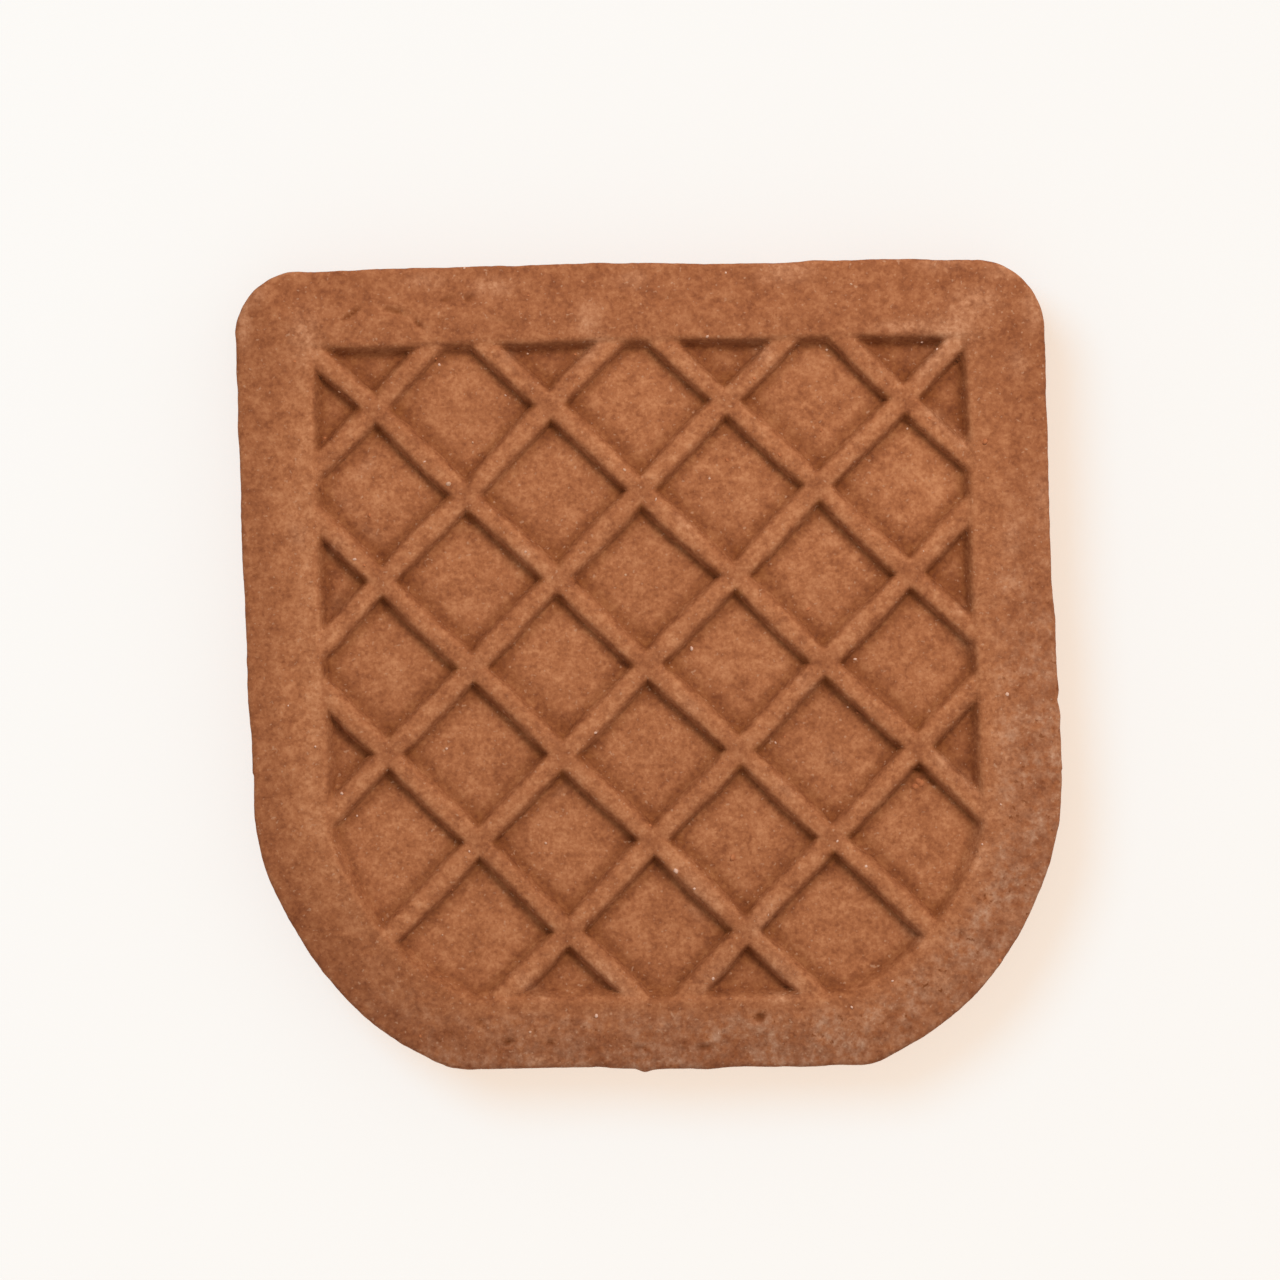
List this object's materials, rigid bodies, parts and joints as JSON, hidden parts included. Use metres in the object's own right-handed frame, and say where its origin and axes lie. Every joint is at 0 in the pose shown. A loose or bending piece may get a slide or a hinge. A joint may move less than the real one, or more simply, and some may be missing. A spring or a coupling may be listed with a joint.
{
  "type": "cookie",
  "caption": "Flat moulded cocoa cookie: square upper corners, wide round lower corners, a raised rim, and a trellis of rounded ribs in its sunken panel.",
  "frame": {"origin": "on the flat underside, below the middle of the cookie's box", "axes": "+Z up out of the patterned face, +Y towards the straight edge between the two small corners, +X to the right as the patterned face is looked at with +Y up"},
  "size_m": [0.0604, 0.0598, 0.0066],
  "materials": {
    "crumb": "matte"
  },
  "bodies": {
    "root": {"biscuit": "crumb"}
  },
  "joints": []
}
